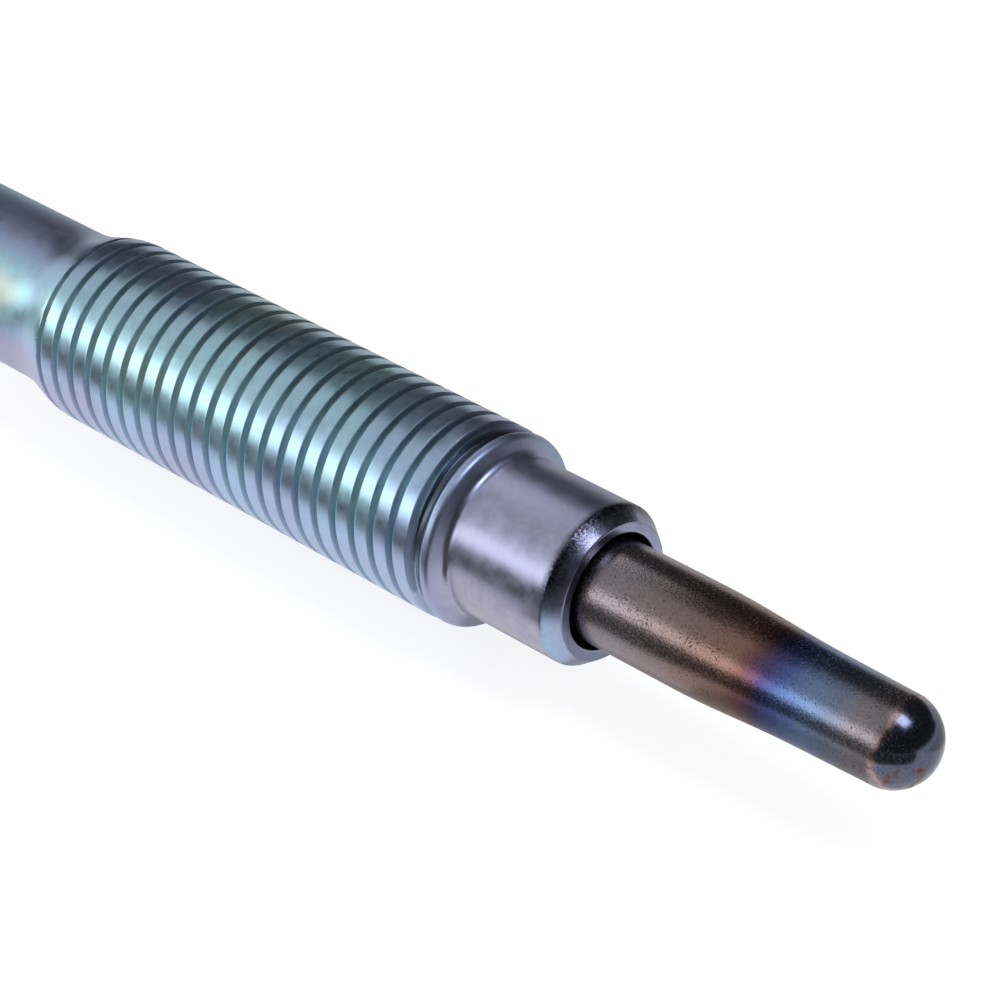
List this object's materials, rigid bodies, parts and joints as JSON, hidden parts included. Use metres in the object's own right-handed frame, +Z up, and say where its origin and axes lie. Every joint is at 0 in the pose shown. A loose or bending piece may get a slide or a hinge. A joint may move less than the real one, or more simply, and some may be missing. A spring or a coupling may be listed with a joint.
{
  "type": "diesel glow plug",
  "caption": "Sheathed glow plug for a diesel engine: swaged round-ended heater tube, conical seat, long fine thread, hexagon and a threaded terminal stud.",
  "frame": {"origin": "on the plug's axis, at the shell's front face, where its conical seat begins", "axes": "+X along the plug's axis, towards the heater tip; +Z up, with the plug lying on a flat of its hexagon"},
  "size_m": [0.0956, 0.0138, 0.012],
  "materials": {
    "zinc_plated_steel": "satin",
    "oxidised_nickel_alloy": "satin",
    "resistance_wire": "satin",
    "magnesia_powder": "matte",
    "seal_rubber": "matte",
    "nickel_plated_steel": "satin",
    "phenolic_plastic": "satin",
    "spring_steel": "satin"
  },
  "bodies": {
    "root": {"shell": "zinc_plated_steel", "sheath": "oxidised_nickel_alloy", "heating_coil": "resistance_wire", "control_coil": "resistance_wire", "magnesia_fill": "magnesia_powder", "tube_seal": "seal_rubber", "centre_rod": "nickel_plated_steel", "o_ring": "seal_rubber", "insulating_bush": "phenolic_plastic", "fixing_nut": "nickel_plated_steel", "spring_washer": "spring_steel", "terminal_nut": "nickel_plated_steel"}
  },
  "joints": []
}
